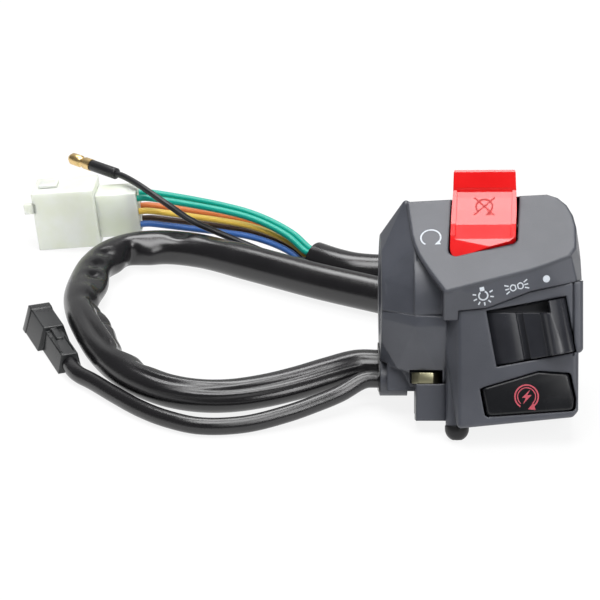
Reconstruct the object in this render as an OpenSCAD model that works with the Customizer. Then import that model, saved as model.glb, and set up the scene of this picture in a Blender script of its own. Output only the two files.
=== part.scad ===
// Right-hand handlebar switch cluster with its harness, standing on a table, in mm.
// Row frame: X along the handlebar, Y away from the rider, Z up, origin on the bar axis at mid length.
// The housing is drawn in a case frame whose panel faces -Y, and then leans back about X.

/* [Housing] */
// length along the handlebar
case_len = 56.2; // [55:0.2:60]
// handlebar that the cases clamp
bar_dia = 22.2; // [22:0.1:22.6]
// barrel round the handlebar
barrel_dia = 37.8; // [37:0.2:39]
// wall left round the bar where pockets come near it
bar_wall = 2.1; // [1.8:0.1:2.2]
// panel ahead of the bar axis
panel_front = 23; // [22.6:0.1:23.4]
// lean of the panel away from the rider, in degrees
lean = 25; // [23:1:27]
// tilt of the split between the cases, in degrees
split_tilt = 16; // [14:1:18]
// edge radius of the moulded cases
edge_r = 1.2; // [0.8:0.1:1.4]

/* [Engine stop] */
// width of the stop rocker
stop_w = 18.4; // [17:0.1:18.8]
// gap between the stop rocker and its well
stop_gap = 0.5; // [0.4:0.05:0.7]
// pivot stub radius
stop_pin_r = 1.2; // [1:0.05:1.3]

/* [Light switch] */
// length of the light window
window_len = 22.6; // [22.2:0.1:22.8]
// height of the light window
window_h = 16; // [15.6:0.1:16.2]
// gap between the light paddle and its window
light_gap = 0.45; // [0.35:0.05:0.6]
// half of the paddle's whole swing, in degrees
light_half = 12; // [8:1:13]
// turn of the window in the panel, in degrees
light_turn = 10.5; // [9:0.5:11]

/* [Start button] */
// gap round the start button
start_gap = 0.45; // [0.35:0.05:0.6]
// travel of the start button
start_travel = 3; // [2:0.1:3.2]
// radius of the start button's stem
start_stem_r = 2.2; // [1.8:0.1:2.4]

/* [Harness] */
// diameter of the main sleeve
sleeve_dia = 11.6; // [10.6:0.2:11.6]
// diameter of the brake lead
lead_dia = 5; // [4.4:0.1:5.2]
// diameter of the wires
wire_dia = 2.1; // [1.8:0.1:2.2]
// wall of the six-way connector
shell_wall = 1.3; // [1:0.1:1.5]

/* [Hidden] */
$fn = 48;
half_len = case_len / 2;
bore_r = bar_dia / 2;
keep_r = bore_r + bar_wall;
barrel_r = barrel_dia / 2;
left_r = 14.2;
hood_r = 0.8;
running = 0.05;
table_z = -30;

// hood plane in the case frame: y rises with z and falls with x
hood_at = [1, 22];
hood_yaw = 7.9;
hood_slope = 37.8;
stop_depth = 4;
stop_contact_r = 5.8;
stop_base_r = 6.6;
stop_back_r = 8;
stop_end_r = 10.5;
well_w = stop_w + 2 * stop_gap;

light_at = [13.4, -9.65];
light_depth = 5;
light_well_r = sqrt(pow(window_len / 2, 2) + pow(light_depth, 2));
light_end_r = light_well_r - light_gap;
paddle_h = window_h - 2 * light_gap;
light_pin_r = 1;
light_contact_r = 4.7;
light_base_r = 5.3;
light_back_r = 6.3;
light_mid = -2.3;
light_base_h = 9;

start_at = [13, -26.6];
start_outline = [[-0.3, -25.8], [0.5, -25.3], [15.4, -20.9], [23.4, -21.4], [24, -21.9], [25.4, -28.4],
    [25.2, -31], [24.6, -31.6], [1.8, -33.2], [1, -32.7]];
start_cap_back = 17.5;
start_base_front = 10;
start_base_back = 8;
start_stem_end = 6;

screw_x = -6.9;
screw_front = 16;
rear_screw_x = 18;
rear_screw_back = 15.5;
insert_base = -3.4;
rear_base = 5.7;
screw_r = 2;
insert_r = 2.9;
insert_len = 6.4;

sleeve_at = [8, -20.2];
lead_at = [-0.2, -23.7];
grommet_face = half_len + 0.4;
sleeve_r = sleeve_dia / 2;
lead_r = lead_dia / 2;
wire_r = wire_dia / 2;
sleeve_z = table_z + sleeve_r;
lead_z = table_z + lead_r;

shell_at = [-137, 100.8, table_z];
shell_yaw = 4;
shell_pitch = 6;
shell_size = [20.5, 14, 20];
shell_back = 17;
tail_min = [20.5, 2.2, 2.2];
tail_size = [13.5, 9.6, 14.8];
tail_mid = [tail_min.y + tail_size.y / 2, tail_min.z + tail_size.z / 2];
tail_end = tail_min.x + tail_size.x;
way_y = 2.4;
way_z = 4.6;
plug_turn = 111;
plug_at = [-119.4, 11.6];
plug_neck = 17;
plug_end = 33.5;

// height of the table in the case frame at a distance behind the bar axis
function table_at(y) = (table_z + y * sin(lean)) / cos(lean);
// depth of the hood plane at a place in the front view
function hood_y(x, z) = -(30 + 0.138 * x - 0.783 * z);
// a case-frame place in the row frame
function leaned(p) = [p.x, p.y * cos(lean) + p.z * sin(lean), p.z * cos(lean) - p.y * sin(lean)];

// a connector place in the row frame: the mouth rests on the table and the wires hold the tail up
function tipped(p) = [p.x * cos(shell_pitch) - p.z * sin(shell_pitch), p.y,
    p.x * sin(shell_pitch) + p.z * cos(shell_pitch)];
function turned(p) = [p.x * cos(shell_yaw) + p.y * sin(shell_yaw),
    p.y * cos(shell_yaw) - p.x * sin(shell_yaw), p.z];
function in_shell(p) = shell_at + turned(tipped(p));

function unit(v) = v / norm(v);
function heading(p, i) = unit(p[min(i + 1, len(p) - 1)] - p[max(i - 1, 0)]);
function sideways(p, i) = unit(cross(heading(p, i), [0, 0, 1]));
function upward(p, i) = cross(sideways(p, i), heading(p, i));
function ring(p, i, r, n) = [for (k = [0:n - 1])
    p[i] + r * (cos(360 * k / n) * sideways(p, i) + sin(360 * k / n) * upward(p, i))];

// a tube swept along its route, closed at both ends
module tube(route, r, n) {
    m = len(route);
    points = [for (i = [0:m - 1]) each ring(route, i, r, n)];
    walls = [for (i = [0:m - 2], k = [0:n - 1])
        [i * n + k, i * n + (k + 1) % n, (i + 1) * n + (k + 1) % n, (i + 1) * n + k]];
    first = [for (k = [n - 1:-1:0]) k];
    last = [for (k = [0:n - 1]) (m - 1) * n + k];
    polyhedron(points, concat([first], walls, [last]));
}

// a coil along Z from 0 to its height, wire ends inside that height
module coil(mid_r, wire, height, turns) {
    steps = turns * 10;
    route = [for (i = [0:steps])
        [mid_r * cos(36 * i), mid_r * sin(36 * i), wire + (height - 2 * wire) * i / steps]];
    tube(route, wire, 6);
}

module ball(p, r) {
    translate(p) sphere(r, $fn = 20);
}

module lean_back() {
    rotate([-lean, 0, 0]) children();
}

// X across the hood, Y up its slope, Z out of it, origin over the rocker's pivot
module hood_frame() {
    translate([hood_at.x, hood_y(hood_at.x, hood_at.y), hood_at.y])
        rotate([0, 0, -hood_yaw]) rotate([90 - hood_slope, 0, 0]) children();
}

// X along the window, Y into the panel, Z up the window, origin on the panel
module light_frame() {
    translate([light_at.x, -panel_front, light_at.y]) rotate([0, -light_turn, 0]) children();
}

// the paddle's own frame about its pivot, at rest with its left end pressed
module light_pose() {
    light_frame() translate([0, light_depth, 0]) rotate([0, 0, -light_half]) children();
}

// a solid cylinder along X between two places
module bar_x(x0, x1, r) {
    translate([x0, 0, 0]) rotate([0, 90, 0]) cylinder(r = r, h = x1 - x0, $fn = 96);
}

// an outline in the front view, from one depth in front of the bar to another
module front_prism(outline, f0, f1) {
    translate([0, -f0, 0]) rotate([90, 0, 0]) linear_extrude(height = f1 - f0) polygon(outline);
}

// a sector of a tube about X, its middle pointing down Z
module sector_x(r0, r1, w, a0, a1) {
    rotate([0, 90, 0]) rotate([0, 0, a0]) rotate_extrude(angle = a1 - a0)
        translate([r0, -w / 2]) square([r1 - r0, w]);
}

// a sector of a tube about Z, its middle pointing along Y
module sector_z(r0, r1, z0, z1, a0, a1) {
    rotate([0, 0, 90 + a0]) rotate_extrude(angle = a1 - a0)
        translate([r0, z0]) square([r1 - r0, z1 - z0]);
}

// round the bar, with a slimmer front at the left end for the flank and the skirt
module barrel() {
    bar_x(-19, half_len - 1, barrel_r);
    bar_x(-half_len + 1, -18, left_r);
    translate([-half_len, 0, 0]) rotate([0, 90, 0])
        cylinder(r1 = left_r - 1, r2 = left_r, h = 1, $fn = 96);
    intersection() {
        union() {
            bar_x(-half_len + 1, -18, barrel_r);
            translate([-half_len, 0, 0]) rotate([0, 90, 0])
                cylinder(r1 = barrel_r - 1, r2 = barrel_r, h = 1, $fn = 96);
        }
        translate([-half_len, 0, -30]) cube([12, 30, 60]);
    }
    translate([half_len - 1, 0, 0]) rotate([0, 90, 0])
        cylinder(r1 = barrel_r, r2 = barrel_r - 1, h = 1, $fn = 96);
}

// corners of the hood in the front view
hood_outline = [[-19.8, 26.4], [-19.3, 21.5], [-18.8, 17.4], [-18.1, 14.4], [-16.9, 11.4], [-14.2, 7],
    [-11.3, 3.2], [-10.4, 1.8], [4.6, 5.9], [13, 7.7], [17.2, 9.1], [23.8, 11.6], [25.4, 13.6],
    [25.8, 19.4], [25.2, 22.6], [23.8, 25.4], [21.6, 27.4], [19, 28.3]];
strip_top = [[-10.4, 2.2], [4.6, 6.3], [13, 8.1], [17.2, 9.5], [23.8, 12]];

// left of the hood: from each end's corners, as front and height
flank_end = [[-3, 17.7], [2, 17.6], [8.2, 12.6], [12.2, 5], [12.9, 0], [12.9, -8]];
flank_side = [[-3, 26.2], [10.4, 19], [14, 13.5], [15.6, 8], [16.8, 2], [17, -8]];

module hood() {
    inset = hood_r / cos(hood_slope);
    end = half_len - edge_r;
    arm = barrel_r - edge_r + 0.3;
    hull() {
        for (p = hood_outline) {
            ball([p.x, hood_y(p.x, p.y) + inset, p.y], hood_r);
            ball([p.x, 3, p.y], hood_r);
        }
        for (a = [35, 55, 75, 95]) ball([end, -arm * cos(a), arm * sin(a)], edge_r);
        for (x = [-18, 20]) ball([x, 8, 21.5], edge_r);
    }
    hull() {
        for (p = strip_top) ball([p.x, hood_y(p.x, p.y) + inset, p.y], hood_r);
        for (a = [15, 35]) ball([end, -arm * cos(a), arm * sin(a)], edge_r);
        ball([-10, -panel_front + 0.8 + edge_r, -8], edge_r);
        ball([end, -panel_front + 0.8 + edge_r, -2], edge_r);
        for (z = [-8, 2]) ball([-10, -12, z], edge_r);
    }
    hull() {
        for (p = flank_end) ball([1 - half_len, -p.x, p.y], 1);
        for (p = flank_side) ball([-18.6, -p.x, p.y], 1);
        ball([-20.7, -3.4, 26.7], 1);
        ball([-20.7, 3, 26.7], 1);
    }
}

// the lower case's own cover over the left end, down to the boss
module skirt() {
    hull() {
        for (p = [[12.9, 0], [12.5, -6], [9.6, -12.6], [3, -17.4], [-3, -17.6]])
            ball([1 - half_len, -p.x, p.y], 1);
        for (p = [[17, 0], [17, -8]]) ball([-18.6, -p.x, p.y], 1);
        for (p = [[18.6, 0], [18, -8], [14.2, -17], [12, -23.6], [2, -23.6]]) ball([-10.5, -p.x, p.y], 1);
        for (f = [1, 9.6]) ball([-23, -f, -19.4], 1);
    }
}

// line of the front joint between the cases, in the front view
front_joint = [[-7, -4], [1, -3.2], [13, 1.4], [half_len + 1, 4.8]];

// space that the lower case takes in front of the bar; its joint face drops by a gap
module front_zone(drop) {
    rim = [for (p = front_joint) [p.x, p.y - drop]];
    front_prism(concat(rim, [[half_len + 1, -40], [-7 + drop, -40]]), 13.6 + drop, 32);
}

module above_split() {
    rotate([split_tilt, 0, 0]) translate([-60, -60, 0]) cube([120, 120, 70]);
}

module below_split() {
    rotate([split_tilt, 0, 0]) translate([-60, -60, -70]) cube([120, 120, 70]);
}

module rear_boss(z0, z1) {
    translate([rear_screw_x, rear_screw_back, z0]) cylinder(r = 4.6, h = z1 - z0);
}

module screw_hole(x, y, r, z0, z1) {
    translate([x, y, z0]) cylinder(r = r, h = z1 - z0);
}

front_top = table_at(-screw_front) + 4.4;
rear_top = table_at(rear_screw_back) + 4.8;
screw_len = insert_base + 5.2 - front_top;
rear_len = rear_base + 5.2 - rear_top;

module stop_well() {
    outline = [[-well_w / 2, 0.5], [-well_w / 2, -11], [-9.4, -12.2], [-8.6, -13.1], [-7.4, -13.5],
        [well_w / 2 - 1, -8.9], [well_w / 2, -7.8], [well_w / 2, 0.5]];
    difference() {
        hood_frame() {
            translate([0, 0, -6.8]) linear_extrude(height = 30) polygon(outline);
            translate([0, 0, -stop_depth]) rotate([0, 90, 0])
                cylinder(r = stop_back_r, h = well_w, center = true, $fn = 96);
            intersection() {
                translate([0, 0, -stop_depth]) rotate([0, 90, 0])
                    cylinder(r = stop_end_r + 0.4, h = well_w, center = true, $fn = 96);
                translate([-20, 0, -20]) cube(40);
            }
            translate([-well_w / 2, 0, 0]) cube([well_w, 11, 20]);
        }
        bar_x(-40, 40, keep_r);
    }
}

module upper_case() {
    color("#54575e") lean_back() difference() {
        intersection() {
            union() {
                barrel();
                hood();
                rear_boss(0, rear_base + insert_len + 1.6);
            }
            above_split();
        }
        front_zone(-0.15);
        bar_x(-40, 40, bore_r);
        stop_well();
        hood_frame() translate([0, 0, -stop_depth]) rotate([0, 90, 0])
            cylinder(r = stop_pin_r, h = well_w + 5, center = true);
        screw_hole(screw_x, -screw_front, screw_r + 0.2, -20, insert_base);
        screw_hole(screw_x, -screw_front, insert_r, insert_base, insert_base + insert_len);
        screw_hole(rear_screw_x, rear_screw_back, screw_r + 0.2, -20, rear_base);
        screw_hole(rear_screw_x, rear_screw_back, insert_r, rear_base, rear_base + insert_len);
    }
}

module panel_block() {
    r = edge_r;
    front = -panel_front + r;
    hull() {
        for (z = [10, -15.3 + r]) ball([half_len - 1.6, -panel_front + 1.6, z], 1.6);
        for (z = [10, -15.3 + r]) ball([-7.3 + r, front, z], r);
        for (x = [-8, half_len - r]) ball([x, -8, 0], r);
        ball([half_len - r, -8, -15.3 + r], r);
        ball([-10, -15, -7], r);
    }
}

module lower_block() {
    r = edge_r;
    front = -panel_front + r;
    lift = r / cos(lean);
    hull() {
        ball([-7.3 + r, front, 0], r);
        ball([26.9 - 1.6, -panel_front + 1.6, 0], 1.6);
        ball([-7.3 + r, front, -36.7 + r], r);
        ball([24.4, -panel_front + 1.6, -32.1], 1.6);
        ball([25.1, -panel_front + 1.6, -31.3], 1.6);
        for (x = [-6, 26.9 - r]) ball([x, -2, table_at(-2) + lift], r);
        for (x = [-6, 26.9 - r]) ball([x, 15, table_at(15) + lift], r);
        for (x = [-6, 26.9 - r]) ball([x, 16.4, -10], r);
        ball([-10, -15, -7], r);
        ball([-7.6, -16, -20], r);
    }
}

// two discs side by side, along X, for the way out of the harness
module two_way(x0, x1, big, small) {
    hull() {
        translate([0, sleeve_at.x, sleeve_at.y]) bar_x(x0, x1, big);
        translate([0, lead_at.x, lead_at.y]) bar_x(x0, x1, small);
    }
}

module boss_block() {
    translate([-18.3, -14, -35]) cube([8.4, 9.5, 10.4]);
    translate([-18.3, -5.5, -33.4]) cube([12, 4, 19.4]);
}

// web from the skirt to the boss: its face steps back along a diagonal
module gusset() {
    front_prism([[-26.2, -13], [-26.2, -26.9], [-18, -26.9], [-18, -20]], -2, 6.4);
    front_prism([[-26.2, -13], [-19.4, -25.4], [-10, -25.4], [-10, -13]], -2, 8.4);
}

// room for the nut, open to the front
module nut_notch() {
    translate([-15.4, -10, -24.6]) cylinder(r = 4.6, h = 3.9);
    translate([-20, -30, -24.6]) cube([9.2, 20, 3.9]);
}

module lower_case() {
    color("#4c4f56") lean_back() difference() {
        intersection() {
            union() {
                barrel();
                panel_block();
                lower_block();
                skirt();
                two_way(-half_len, -20.3, sleeve_r + 2, lead_r + 2.2);
                two_way(-20.4, -5, sleeve_r + 0.6, lead_r);
                boss_block();
                gusset();
                translate([screw_x, -screw_front, front_top]) cylinder(r = 3.2, h = 30);
                rear_boss(rear_top, 8);
            }
            union() {
                below_split();
                front_zone(0);
            }
        }
        bar_x(-40, 40, bore_r);
        two_way(-half_len - 1, -22, sleeve_r + 0.9, lead_r + 0.9);
        translate([0, 4.5, -20.5]) bar_x(-23, 8, 4);
        light_well();
        start_well();
        translate([-15.4, -10, -40]) cylinder(r = 2.2, h = 18);
        nut_notch();
        translate([24.9, -panel_front - 0.6, -16.5]) cube([0.5, 1.2, 26]);
        screw_hole(screw_x, -screw_front, screw_r + 0.2, -45, 5);
        screw_hole(rear_screw_x, rear_screw_back, screw_r + 0.2, -45, 12);
        screw_hole(rear_screw_x, rear_screw_back, 3.8, -45, rear_top);
    }
}

module light_well() {
    difference() {
        light_frame() translate([0, light_depth, 0]) {
            intersection() {
                cylinder(r = light_well_r, h = window_h, center = true, $fn = 96);
                translate([-20, -30, -20]) cube([40, 33.6, 40]);
            }
            cylinder(r = light_pin_r, h = window_h + 3.4, center = true);
            sector_z(0, light_back_r, light_mid - light_base_h / 2, light_mid + light_base_h / 2, -75, 75);
        }
        bar_x(-40, 40, keep_r);
    }
}

module start_well() {
    grown = [for (p = start_outline) start_at + (p - start_at) * (1 + start_gap / 9)];
    front_prism(grown, start_cap_back - start_travel - 0.5, 32);
    translate([4, -start_cap_back + start_travel, -31]) cube([18.5, 14.4, 9]);
}

module case_screw(length) {
    cylinder(r = screw_r, h = length);
    translate([0, 0, -1]) cylinder(r = 3.4, h = 1);
    translate([0, 0, -1]) difference() {
        sphere(3.4);
        translate([0, 0, 5]) cube(10, center = true);
        translate([0, 0, -4]) cylinder(r = 1.3, h = 2.2, $fn = 6);
    }
}

module front_screw() {
    color("#1d1d20") lean_back() translate([screw_x, -screw_front, front_top]) case_screw(screw_len);
}

module rear_screw() {
    color("#1d1d20") lean_back() translate([rear_screw_x, rear_screw_back, rear_top]) case_screw(rear_len);
}

module case_insert() {
    difference() {
        cylinder(r = insert_r, h = insert_len);
        translate([0, 0, -1]) cylinder(r = screw_r, h = insert_len + 2);
    }
}

module case_inserts() {
    color("#b8964e") lean_back() {
        translate([screw_x, -screw_front, insert_base]) case_insert();
        translate([rear_screw_x, rear_screw_back, rear_base]) case_insert();
    }
}

module boss_nut() {
    color("#a9a37a") lean_back() translate([-15.4, -10, -24.6]) difference() {
        cylinder(r = 7 / sqrt(3), h = 3.2, $fn = 6);
        translate([0, 0, -1]) cylinder(r = 2, h = 6);
    }
}

module harness_grommet() {
    color("#1b1b1e") lean_back() {
        two_way(-half_len, -22, sleeve_r + 0.9, lead_r + 0.9);
        two_way(-grommet_face, -half_len, sleeve_r + 1.2, lead_r + 1.2);
    }
}

// side of the stop rocker: up the slope, and out of the hood
rocker_side = [[-13.1, -3.4], [-13.1, -0.6], [-12.6, 0.3], [-11.4, 0.9], [-8, 1.4], [-3, 1.6], [2, 2],
    [6, 2.6], [8, 3.2], [8.6, 3.9], [12, 6.5], [12.7, 6.6], [13.1, 6], [12.6, 4.6], [10.4, 2.2], [9.7, 0.2],
    [10.2, -1.6], [10.5, -4], [9.6, -6], [2.6, -6.2], [-4, -6.2]];

// hollow of the rocker's face between its rims
rocker_hollow = [[-11.4, 5], [-11.4, 0.5], [-8, 1], [-3, 1.2], [2, 1.6], [6, 2.2], [7.7, 2.8], [8.3, 3.5],
    [8.3, 5]];

module stop_rocker() {
    side = stop_w / 2;
    plan = [[-side + 1.6, 13.1], [-side + 0.7, 12.8], [-side + 0.4, 11.9], [-side, 2], [-side, -10.7],
        [-8.9, -11.8], [-8.2, -12.7], [-7.2, -13], [-6.4, -13], [side - 1.2, -8.6], [side, -7.4], [side, 2],
        [side - 0.4, 11.9], [side - 0.7, 12.8], [side - 1.6, 13.1]];
    color("#d8201f") lean_back() hood_frame() difference() {
        union() {
            intersection() {
                rotate([90, 0, 90]) linear_extrude(height = stop_w, center = true) polygon(rocker_side);
                translate([0, 0, -20]) linear_extrude(height = 40) polygon(plan);
            }
            translate([0, 0, -8.4]) cylinder(r = 2.6, h = 4);
        }
        rotate([90, 0, 90]) linear_extrude(height = stop_w - 2.8, center = true) polygon(rocker_hollow);
        for (s = [-1, 1]) translate([s * 8.6, 0, -stop_depth]) rotate([0, 90, 0])
            cylinder(r = stop_pin_r + running, h = 6, center = true);
        translate([0, 0, -9]) cylinder(r = 1.4, h = 8.8);
    }
}

module stop_pivots() {
    reach = well_w / 2 + 2.5;
    color("#9a9ea5") lean_back() hood_frame() for (s = [-1, 1])
        translate([s * (reach + 5.8) / 2, 0, -stop_depth]) rotate([0, 90, 0])
            cylinder(r = stop_pin_r, h = reach - 5.8, center = true);
}

module stop_plunger() {
    color("#c9a45a") lean_back() hood_frame() {
        translate([0, 0, -8.2]) cylinder(r = 1.35, h = 2.2);
        translate([0, 0, -8.2]) sphere(1.3);
    }
}

module stop_spring() {
    color("#b9bcc2") lean_back() hood_frame() translate([0, 0, -6]) coil(1, 0.25, 5.8, 6);
}

module stop_contact_base() {
    color("#2d2622") lean_back() hood_frame() translate([0, 0, -stop_depth])
        sector_x(stop_base_r, stop_back_r, well_w, -40, 40);
}

module stop_contacts() {
    color("#c9a45a") lean_back() hood_frame() translate([0, 0, -stop_depth]) {
        sector_x(stop_contact_r, stop_base_r, 5, -36, -6);
        sector_x(stop_contact_r, stop_base_r, 5, 4, 34);
    }
}

// front of the light paddle: along the window, and into the panel from the pivot
paddle_top = [[-12, -3.9], [-10.6, -4.9], [-8.6, -5.6], [-6.6, -5.9], [-5.1, -6], [-2.4, -4.7],
    [-2.2, -3.9], [-0.6, -3.9], [-0.4, -5.3], [4.4, -5.7], [5.9, -7.6], [6.6, -7.9], [7.4, -7.8],
    [9.4, -6.6], [12, -4.6], [12, -0.2], [3, 0.6], [-3, 0.6], [-12, -0.2]];

module light_rocker() {
    color("#232428") lean_back() light_pose() difference() {
        union() {
            intersection() {
                linear_extrude(height = paddle_h, center = true) polygon(paddle_top);
                cylinder(r = light_end_r, h = 40, center = true, $fn = 96);
            }
            cylinder(r = 2.4, h = paddle_h, center = true);
            translate([0, 0, light_mid]) rotate([-90, 0, 0]) cylinder(r = 2.2, h = 3.4);
        }
        for (s = [-1, 1]) translate([0, 0, s * 7])
            cylinder(r = light_pin_r + running, h = 6, center = true);
        translate([0, -2.2, light_mid]) rotate([-90, 0, 0]) cylinder(r = 1.3, h = 8);
    }
}

module light_pivots() {
    reach = window_h / 2 + 1.7;
    color("#9a9ea5") lean_back() light_frame() for (s = [-1, 1])
        translate([0, light_depth, s * (reach + 4.2) / 2])
            cylinder(r = light_pin_r, h = reach - 4.2, center = true);
}

module light_plunger() {
    color("#c9a45a") lean_back() light_pose() translate([0, 0, light_mid]) rotate([-90, 0, 0]) {
        translate([0, 0, 1.4]) cylinder(r = 1.25, h = 1.8);
        translate([0, 0, 3.2]) sphere(1.2);
    }
}

module light_spring() {
    color("#b9bcc2") lean_back() light_pose() translate([0, -2.2, light_mid]) rotate([-90, 0, 0])
        coil(0.9, 0.25, 3.6, 4);
}

module light_contact_base() {
    z0 = light_mid - light_base_h / 2;
    color("#2d2622") lean_back() light_frame() translate([0, light_depth, 0])
        sector_z(light_base_r, light_back_r, z0, z0 + light_base_h, -60, 60);
}

module light_contacts() {
    color("#c9a45a") lean_back() light_frame() translate([0, light_depth, 0]) {
        for (a = [-44, -14, 16])
            sector_z(light_contact_r, light_base_r, light_mid - 2.5, light_mid + 2.5, a, a + 26);
    }
}

module start_button() {
    face = [for (p = start_outline) start_at + (p - start_at) * 0.95];
    color("#1c1d21") lean_back() {
        hull() {
            front_prism(start_outline, start_cap_back, panel_front - 0.2);
            front_prism(face, start_cap_back, panel_front + 0.6);
        }
        translate([start_at.x, -start_cap_back, start_at.y]) rotate([-90, 0, 0])
            cylinder(r = start_stem_r, h = start_cap_back - start_stem_end);
    }
}

module start_spring() {
    color("#b9bcc2") lean_back() translate([start_at.x, -start_cap_back, start_at.y]) rotate([-90, 0, 0])
        coil(3.1, 0.3, start_cap_back - start_base_front, 6);
}

module start_bridge() {
    color("#c9a45a") lean_back() translate([start_at.x - 6.5, -start_stem_end, start_at.y - 1.6])
        cube([13, 0.8, 3.2]);
}

module start_contact_base() {
    color("#2d2622") lean_back() difference() {
        translate([4, -start_base_front, -31]) cube([18.5, start_base_front - start_base_back, 9]);
        translate([start_at.x, -start_base_front - 1, start_at.y]) rotate([-90, 0, 0])
            cylinder(r = start_stem_r + running, h = 6);
    }
}

module start_contacts() {
    tip = -start_stem_end + 0.8 + start_travel + 0.3;
    color("#c9a45a") lean_back() for (s = [-1, 1]) translate([start_at.x, 0, start_at.y - 1.6]) {
        translate([s * 8 - 0.5, -start_base_back, 0]) cube([1, start_base_back + tip + 0.8, 3.2]);
        translate([min(s * 8.5, s * 4.5), tip, 0]) cube([4, 0.8, 3.2]);
    }
}

// routes of the harness, chosen by hand on the table
sleeve_out = leaned([-grommet_face, sleeve_at.x, sleeve_at.y]);
lead_out = leaned([-grommet_face, lead_at.x, lead_at.y]);
sleeve_turns = [[-43.5, -5.6], [-52, -9.8], [-61, -13.2], [-71, -15], [-80, -15], [-89, -11.8], [-97.5, -5],
    [-104.5, 4], [-110, 15], [-114.5, 28], [-117.8, 40], [-119.4, 51], [-118.8, 62], [-116.6, 74],
    [-112, 83.5], [-105, 89], [-95, 90.5], [-83, 87.5], [-67, 78], [-45, 64], [-25, 53], [-10, 45], [4, 40.5],
    [16, 40.5], [24.5, 46.5], [28, 56.5], [26.5, 67], [19.5, 75], [8, 78.5], [-4, 76.5], [-14, 72.5],
    [-23, 70.5], [-33, 71.8], [-40, 75.6], [-46, 80.5]];
sleeve_route = concat([sleeve_out, sleeve_out - [6, 0, 0]],
    [for (i = [0:len(sleeve_turns) - 1])
        [sleeve_turns[i].x, sleeve_turns[i].y, sleeve_z + max(0, 3 - i) * 0.7]]);

lead_turns = [[-39.5, -14.2], [-46.5, -18.2], [-55, -22.4], [-67, -26.4], [-79.5, -27.3], [-89.3, -22.8], [-97, -16.6],
    [-104.8, -8], [-112, 0.6], [-116.2, 5], [-118.25, 8.6], [-119.4, 11.6]];
lead_route = concat([lead_out, lead_out - [4, 0.4, 0]],
    [for (i = [0:len(lead_turns) - 1]) [lead_turns[i].x, lead_turns[i].y, lead_z + max(0, 3 - i) * 1.2]]);

// middle of the six wires from the sleeve's end to the connector
loom_end = [tail_end, tail_mid[0], tail_mid[1]];
loom = [[-46, 80.5, sleeve_z], [-48.3, 82.4, sleeve_z], [-53.5, 87.4, -21.6], [-60, 92, -19.8],
    [-67.5, 95.8, -18.5], [-76, 99, -17.9], [-85, 102, -17.6], [-94, 104.2, -17.1],
    in_shell(loom_end + [2.6, 0, 0]), in_shell(loom_end)];
spread = [0, 0, 0.12, 0.3, 0.5, 0.7, 0.86, 0.96, 1, 1];
loom_side = unit([0.632, 0.775, 0]);

// one wire: its place in the sleeve, then its place in the connector
function wire_route(from, to) = [for (i = [0:len(loom) - 1])
    loom[i] + (1 - spread[i]) * (loom_side * from.x + [0, 0, from.y])
    + spread[i] * turned(tipped([0, to.x * way_y, to.y * way_z]))];

module main_sleeve() {
    color("#1e1d20") tube(sleeve_route, sleeve_r, 12);
}

module brake_lead() {
    color("#1e1d20") tube(lead_route, lead_r, 10);
}

module wire_green_a() {
    color("#00a591") tube(wire_route([-1.3, 2.3], [-1, 1]), wire_r, 8);
}

module wire_green_b() {
    color("#0a9a86") tube(wire_route([1.3, 2.3], [1, 1]), wire_r, 8);
}

module wire_brown() {
    color("#6e4b32") tube(wire_route([1.3, -2.3], [1, -1]), wire_r, 8);
}

module wire_orange() {
    color("#eb8250") tube(wire_route([2.6, 0], [1, 0]), wire_r, 8);
}

module wire_yellow() {
    color("#f5c350") tube(wire_route([0, 0], [-1, 0]), wire_r, 8);
}

module wire_blue() {
    color("#194baa") tube(wire_route([-1.3, -2.3], [-1, -1]), wire_r, 8);
}

black_start = loom[0] - 2.6 * loom_side;
bullet_at = [-111.6, 111.4, -7];
bullet_turn = 139;
black_route = [black_start, black_start + 2.6 * unit([-0.775, 0.632, 0]), [-57, 84.6, -25.6],
    [-66.5, 91, -24.4], [-77.5, 93.8, -20.6], [-86.4, 93, -15.8], [-93, 94.4, -11.6], [-98.8, 97.8, -8.8],
    [-104.3, 103.6, -7.4], [-109.3, 109.4, -7], bullet_at];

module wire_black() {
    color("#1c1c1f") tube(black_route, wire_r, 8);
}

module bullet_frame() {
    translate(bullet_at) rotate([0, 0, bullet_turn]) rotate([0, 90, 0]) children();
}

module bullet_sleeve() {
    color("#2a2b2f") bullet_frame() cylinder(r = 1.9, h = 11.5);
}

module bullet_terminal() {
    color("#c8a05a") bullet_frame() rotate_extrude()
        polygon([[0, 11.5], [2, 11.5], [2, 14.5], [1.6, 15], [1.6, 16], [2, 16.6], [2, 20.4], [1.2, 21.6],
            [0, 21.8]]);
}

module shell_frame() {
    translate(shell_at) rotate([0, 0, -shell_yaw]) rotate([0, -shell_pitch, 0]) children();
}

module connector_shell() {
    inner = [shell_back + 1, shell_size.y - 2 * shell_wall, shell_size.z - 2 * shell_wall];
    color("#e9ede0") shell_frame() {
        difference() {
            union() {
                cube(shell_size);
                translate([2, shell_size.y / 2 - 2.5, shell_size.z - 1]) cube([6, 5, 2]);
                translate([-3, 0, shell_size.z - 7]) cube([4, shell_wall, 3.6]);
            }
            translate([-1, shell_wall, shell_wall]) cube(inner);
        }
        translate(tail_min) cube(tail_size);
    }
}

module connector_terminals() {
    color("#c9a45a") shell_frame() for (y = [-way_y, way_y], z = [-way_z, 0, way_z])
        translate([shell_back - 10, tail_mid[0] + y - 1.4, tail_mid[1] + z - 0.4]) cube([10, 2.8, 0.8]);
}

module plug_frame() {
    translate([plug_at.x, plug_at.y, lead_z]) rotate([0, 0, plug_turn]) children();
}

// a length of the plug along X, narrower at the top, standing on the table
module plug_length(x0, x1, foot, top, h) {
    translate([x0, 0, -lead_r]) rotate([90, 0, 90]) linear_extrude(height = x1 - x0)
        polygon([[-foot / 2, 0], [foot / 2, 0], [top / 2, h], [-top / 2, h]]);
}

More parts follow.
